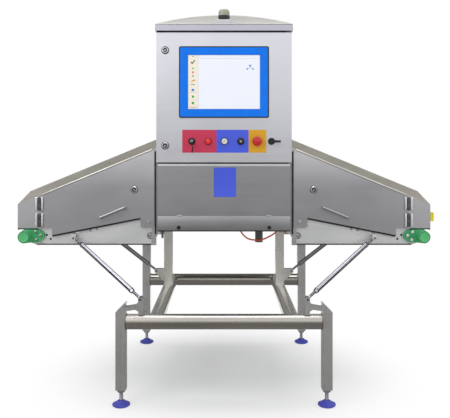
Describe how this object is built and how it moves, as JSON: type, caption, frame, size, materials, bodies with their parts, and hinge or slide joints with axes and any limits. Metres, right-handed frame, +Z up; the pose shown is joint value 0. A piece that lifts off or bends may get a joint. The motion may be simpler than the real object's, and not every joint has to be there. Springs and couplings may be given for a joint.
{
  "type": "x-ray inspection system",
  "caption": "Belt-fed x-ray inspection machine for food packs: shielded head, touch-screen cabinet, guarded conveyor wings and a tubular stand on levelling feet.",
  "frame": {"origin": "on the floor, under the middle of the four levelling feet", "axes": "+X along the belt, to the operator's right; -Y towards the operator; +Z up"},
  "size_m": [1.79, 0.92, 1.7019],
  "materials": {
    "stainless_tube": "satin stainless steel tube",
    "stainless_sheet": "brushed stainless steel sheet",
    "polished_steel": "polished stainless steel",
    "blue_pad": "violet-blue moulded pad",
    "green_plastic": "green moulded plastic",
    "belt_white": "white food-grade belt",
    "black_plastic": "black moulded plastic",
    "crimson_plastic": "red moulded plastic",
    "white_plastic": "white moulded plastic",
    "sensor_yellow": "yellow moulded plastic",
    "cable_orange": "orange cable sheath",
    "beacon_green": "grey-green dome",
    "screen_blue": "dark touch glass",
    "tank_grey": "grey paint",
    "detector_alloy": "anodised"
  },
  "bodies": {
    "stand_and_head": {"inspection_housing": "stainless_sheet", "front_panel": "stainless_sheet", "cabinet_shell": "stainless_sheet", "roof": "stainless_sheet", "beacon_base": "black_plastic", "beacon_lens": "beacon_green", "xray_generator": "tank_grey", "line_detector": "detector_alloy", "front_cross_bar": "stainless_tube", "rear_cross_bar": "stainless_tube", "rear_head_beam": "stainless_tube", "return_skid_bars": "polished_steel", "conveyor_belt": "belt_white", "slider_bed": "stainless_sheet", "photo_sensor": "sensor_yellow", "orange_cable": "cable_orange", "cable_glands": "black_plastic", "front_leg_left": "stainless_tube", "front_leg_right": "stainless_tube", "rear_leg_left": "stainless_tube", "rear_leg_right": "stainless_tube", "side_rail_left": "stainless_tube", "side_rail_right": "stainless_tube", "inner_post_left": "stainless_tube", "inner_post_right": "stainless_tube", "stay_front_left": "polished_steel", "stay_front_right": "polished_steel", "stay_rear_left": "polished_steel", "stay_rear_right": "polished_steel", "wing_hood_left": "stainless_sheet", "wing_hood_right": "stainless_sheet", "side_plate_left": "stainless_sheet", "side_plate_right": "stainless_sheet", "front_bearing_left": "green_plastic", "front_bearing_right": "green_plastic"},
    "cabinet_door": {"cabinet_door": "stainless_sheet", "panel_computer": "stainless_sheet", "screen_glass": "screen_blue", "control_rings": "polished_steel"},
    "reset_button": {"reset_button": "crimson_plastic"},
    "start_button": {"start_button": "white_plastic"},
    "stop_button": {"stop_button": "black_plastic"},
    "emergency_stop": {"emergency_stop": "crimson_plastic"},
    "key_switch": {"key_switch": "polished_steel"},
    "isolator_lever": {"isolator_lever": "black_plastic"},
    "door_lock_upper": {"door_lock_upper": "polished_steel"},
    "door_lock_lower": {"door_lock_lower": "polished_steel"},
    "idler_roller_left": {"idler_roller_left": "polished_steel"},
    "drum_motor_right": {"drum_motor_right": "polished_steel"},
    "access_door_left": {"access_door_left": "stainless_sheet"},
    "access_door_right": {"access_door_right": "stainless_sheet"},
    "door_latch_left": {"door_latch_left": "polished_steel"},
    "door_latch_right": {"door_latch_right": "polished_steel"},
    "snub_roller_left": {"snub_roller_left": "polished_steel"},
    "snub_roller_right": {"snub_roller_right": "polished_steel"},
    "levelling_foot_front_left": {"levelling_foot_front_left": "blue_pad"},
    "levelling_foot_front_right": {"levelling_foot_front_right": "blue_pad"},
    "levelling_foot_rear_left": {"levelling_foot_rear_left": "blue_pad"},
    "levelling_foot_rear_right": {"levelling_foot_rear_right": "blue_pad"}
  },
  "joints": [
    {"name": "cabinet_door_hinge", "type": "hinge", "parent": "stand_and_head", "child": "cabinet_door", "pos_m": [0.281, -0.228, 1.233], "axis": [0, 0, 1], "range_deg": [0, 110]},
    {"name": "reset_button_press", "type": "slide", "parent": "cabinet_door", "child": "reset_button", "axis": [0, 1, 0], "range_m": [0, 0.003], "stiffness_N_per_m": 600, "springref_m": -0.002},
    {"name": "start_button_press", "type": "slide", "parent": "cabinet_door", "child": "start_button", "axis": [0, 1, 0], "range_m": [0, 0.003], "stiffness_N_per_m": 600, "springref_m": -0.002},
    {"name": "stop_button_press", "type": "slide", "parent": "cabinet_door", "child": "stop_button", "axis": [0, 1, 0], "range_m": [0, 0.003], "stiffness_N_per_m": 600, "springref_m": -0.002},
    {"name": "emergency_stop_press", "type": "slide", "parent": "cabinet_door", "child": "emergency_stop", "axis": [0, 1, 0], "range_m": [0, 0.003], "stiffness_N_per_m": 600, "springref_m": -0.002},
    {"name": "key_turn", "type": "hinge", "parent": "cabinet_door", "child": "key_switch", "pos_m": [-0.136, -0.24, 1.047], "axis": [0, 1, 0], "range_deg": [0, 90]},
    {"name": "isolator_turn", "type": "hinge", "parent": "cabinet_door", "child": "isolator_lever", "pos_m": [0.201, -0.24, 1.047], "axis": [0, -1, 0], "range_deg": [0, 90]},
    {"name": "upper_lock_turn", "type": "hinge", "parent": "cabinet_door", "child": "door_lock_upper", "pos_m": [-0.249, -0.24, 1.433], "axis": [0, 1, 0], "range_deg": [0, 90]},
    {"name": "lower_lock_turn", "type": "hinge", "parent": "cabinet_door", "child": "door_lock_lower", "pos_m": [-0.249, -0.24, 1.029], "axis": [0, 1, 0], "range_deg": [0, 90]},
    {"name": "access_door_left_hinge", "type": "hinge", "parent": "stand_and_head", "child": "access_door_left", "pos_m": [-0.789, -0.218, 0.746], "axis": [0, 0, -1], "range_deg": [0, 110]},
    {"name": "latch_left_turn", "type": "hinge", "parent": "access_door_left", "child": "door_latch_left", "pos_m": [-0.384, -0.212, 0.841], "axis": [0, 1, 0], "range_deg": [0, 90]},
    {"name": "access_door_right_hinge", "type": "hinge", "parent": "stand_and_head", "child": "access_door_right", "pos_m": [0.789, -0.218, 0.746], "axis": [0, 0, 1], "range_deg": [0, 110]},
    {"name": "latch_right_turn", "type": "hinge", "parent": "access_door_right", "child": "door_latch_right", "pos_m": [0.384, -0.212, 0.841], "axis": [0, -1, 0], "range_deg": [0, 90]},
    {"name": "drum_motor_spin", "type": "hinge", "parent": "stand_and_head", "child": "drum_motor_right", "pos_m": [0.848, -0.02, 0.641], "axis": [0, 1, 0], "continuous": true},
    {"name": "idler_roller_spin", "type": "hinge", "parent": "stand_and_head", "child": "idler_roller_left", "pos_m": [-0.848, -0.02, 0.641], "axis": [0, 1, 0], "continuous": true},
    {"name": "snub_roller_left_spin", "type": "hinge", "parent": "stand_and_head", "child": "snub_roller_left", "pos_m": [-0.317, -0.02, 0.642], "axis": [0, 1, 0], "continuous": true},
    {"name": "snub_roller_right_spin", "type": "hinge", "parent": "stand_and_head", "child": "snub_roller_right", "pos_m": [0.317, -0.02, 0.642], "axis": [0, 1, 0], "continuous": true},
    {"name": "foot_front_left_turn", "type": "hinge", "parent": "stand_and_head", "child": "levelling_foot_front_left", "pos_m": [-0.406, -0.425, 0.05], "axis": [0, 0, 1], "continuous": true},
    {"name": "foot_front_right_turn", "type": "hinge", "parent": "stand_and_head", "child": "levelling_foot_front_right", "pos_m": [0.406, -0.425, 0.05], "axis": [0, 0, 1], "continuous": true},
    {"name": "foot_rear_left_turn", "type": "hinge", "parent": "stand_and_head", "child": "levelling_foot_rear_left", "pos_m": [-0.406, 0.425, 0.05], "axis": [0, 0, 1], "continuous": true},
    {"name": "foot_rear_right_turn", "type": "hinge", "parent": "stand_and_head", "child": "levelling_foot_rear_right", "pos_m": [0.406, 0.425, 0.05], "axis": [0, 0, 1], "continuous": true}
  ],
  "couplings": [
    {"joint": "idler_roller_spin", "follows": "drum_motor_spin", "ratio": 1},
    {"joint": "snub_roller_left_spin", "follows": "drum_motor_spin", "ratio": 1.3636},
    {"joint": "snub_roller_right_spin", "follows": "drum_motor_spin", "ratio": 1.3636}
  ]
}
